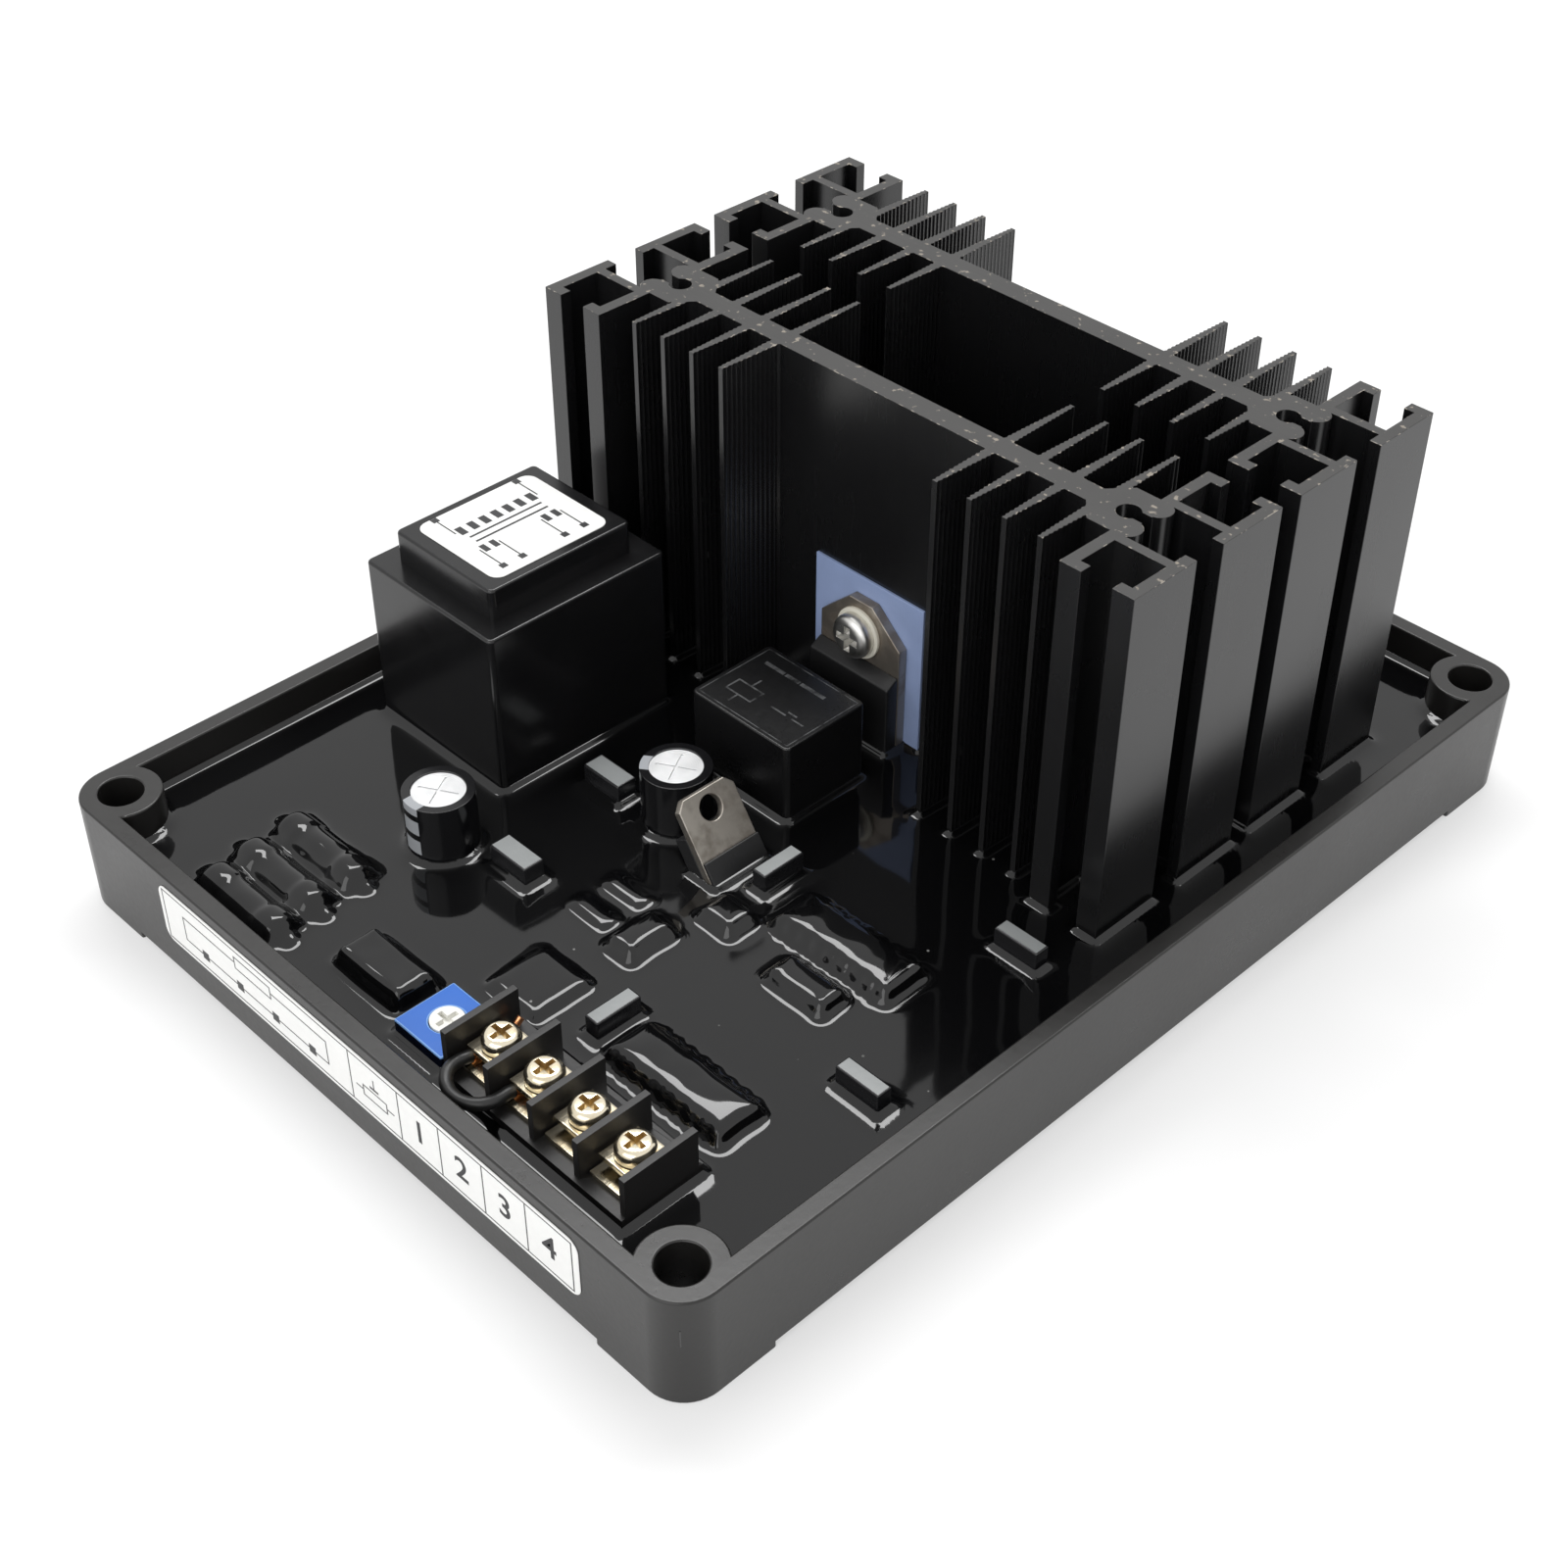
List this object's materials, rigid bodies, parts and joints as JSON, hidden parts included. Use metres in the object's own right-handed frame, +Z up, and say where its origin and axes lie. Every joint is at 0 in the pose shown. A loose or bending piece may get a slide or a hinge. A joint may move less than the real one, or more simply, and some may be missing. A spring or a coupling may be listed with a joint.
{
  "type": "automatic voltage regulator",
  "caption": "Resin-potted generator voltage regulator: shallow mounting tray with finned heat sinks, encapsulated transformer, relay, thyristor, trimmer and a screw terminal block.",
  "frame": {"origin": "middle of the mounting-hole rectangle, in the plane of the feet's undersides", "axes": "+X along the front wall from the first terminal to the fourth, +Y from the terminal side to the heat-sink side, +Z up out of the tray"},
  "size_m": [0.1264, 0.1682, 0.0675],
  "materials": {
    "tray_plastic": "satin moulded",
    "board_laminate": "matt",
    "resin": "glossy cast",
    "black_aluminium": "satin black anodised",
    "plated_steel": "bright plated",
    "case_plastic": "fine satin",
    "label_paper": "smooth paper",
    "silicone": "matt",
    "tab_metal": "tinned copper, dull",
    "bush_plastic": "matt",
    "can_aluminium": "bright",
    "sleeve_film": "glossy shrink film",
    "film_case": "smooth",
    "part_body": "moulded",
    "resistor_body": "lacquered",
    "trimmer_blue": "smooth moulded",
    "rotor_white": "moulded",
    "terminal_metal": "plated, bright",
    "copper": "bare drawn",
    "wire_sleeve": "smooth"
  },
  "bodies": {
    "base": {"tray": "tray_plastic", "circuit_board": "board_laminate", "potting_resin": "resin", "front_heatsink": "black_aluminium", "rear_heatsink": "black_aluminium", "heatsink_screws": "plated_steel", "thyristor_screw": "plated_steel", "transformer": "case_plastic", "relay": "case_plastic", "thyristor_body": "case_plastic", "regulator_body": "case_plastic", "terminal_block": "case_plastic", "transformer_label": "label_paper", "front_label": "label_paper", "insulating_pad": "silicone", "thyristor_tab": "tab_metal", "regulator_tab": "tab_metal", "insulating_bush": "bush_plastic", "capacitor_can_1": "can_aluminium", "capacitor_can_2": "can_aluminium", "capacitor_sleeve_1": "sleeve_film", "capacitor_sleeve_2": "sleeve_film", "film_capacitor_1": "film_case", "film_capacitor_2": "film_case", "film_capacitor_3": "film_case", "film_capacitor_4": "film_case", "film_capacitor_5": "film_case", "film_capacitor_6": "film_case", "buried_capacitor_1": "part_body", "buried_capacitor_2": "part_body", "buried_capacitor_3": "part_body", "integrated_circuit_1": "part_body", "integrated_circuit_2": "part_body", "bridge_rectifier": "part_body", "diodes": "part_body", "transistor": "part_body", "power_resistor_1": "resistor_body", "power_resistor_2": "resistor_body", "power_resistor_3": "resistor_body", "trimmer_body": "trimmer_blue", "terminal_plates": "terminal_metal", "jumper_core": "copper", "jumper_sleeve": "wire_sleeve"},
    "trimmer_rotor": {"trimmer_rotor": "rotor_white"},
    "clamp_1": {"terminal_clamp_1": "terminal_metal"},
    "screw_1": {"terminal_screw_1": "terminal_metal"},
    "clamp_2": {"terminal_clamp_2": "terminal_metal"},
    "screw_2": {"terminal_screw_2": "terminal_metal"},
    "clamp_3": {"terminal_clamp_3": "terminal_metal"},
    "screw_3": {"terminal_screw_3": "terminal_metal"},
    "clamp_4": {"terminal_clamp_4": "terminal_metal"},
    "screw_4": {"terminal_screw_4": "terminal_metal"}
  },
  "joints": [
    {"name": "trimmer_turn", "type": "hinge", "parent": "base", "child": "trimmer_rotor", "pos_m": [0.00665, -0.0718, 0.0152], "axis": [0, 0, 1], "range_deg": [-140, 140]},
    {"name": "clamp_1_lift", "type": "slide", "parent": "base", "child": "clamp_1", "axis": [0, 0, 1], "range_m": [0, 0.002]},
    {"name": "screw_1_turn", "type": "hinge", "parent": "clamp_1", "child": "screw_1", "pos_m": [0.01657, -0.0708, 0.01755], "axis": [0, 0, 1], "range_deg": [0, 1440]},
    {"name": "clamp_2_lift", "type": "slide", "parent": "base", "child": "clamp_2", "axis": [0, 0, 1], "range_m": [0, 0.002]},
    {"name": "screw_2_turn", "type": "hinge", "parent": "clamp_2", "child": "screw_2", "pos_m": [0.02482, -0.0708, 0.01755], "axis": [0, 0, 1], "range_deg": [0, 1440]},
    {"name": "clamp_3_lift", "type": "slide", "parent": "base", "child": "clamp_3", "axis": [0, 0, 1], "range_m": [0, 0.002]},
    {"name": "screw_3_turn", "type": "hinge", "parent": "clamp_3", "child": "screw_3", "pos_m": [0.03308, -0.0708, 0.01755], "axis": [0, 0, 1], "range_deg": [0, 1440]},
    {"name": "clamp_4_lift", "type": "slide", "parent": "base", "child": "clamp_4", "axis": [0, 0, 1], "range_m": [0, 0.002]},
    {"name": "screw_4_turn", "type": "hinge", "parent": "clamp_4", "child": "screw_4", "pos_m": [0.04133, -0.0708, 0.01755], "axis": [0, 0, 1], "range_deg": [0, 1440]}
  ],
  "couplings": [
    {"joint": "screw_1_turn", "follows": "clamp_1_lift", "rad_per_m": 12566},
    {"joint": "screw_2_turn", "follows": "clamp_2_lift", "rad_per_m": 12566},
    {"joint": "screw_3_turn", "follows": "clamp_3_lift", "rad_per_m": 12566},
    {"joint": "screw_4_turn", "follows": "clamp_4_lift", "rad_per_m": 12566}
  ]
}
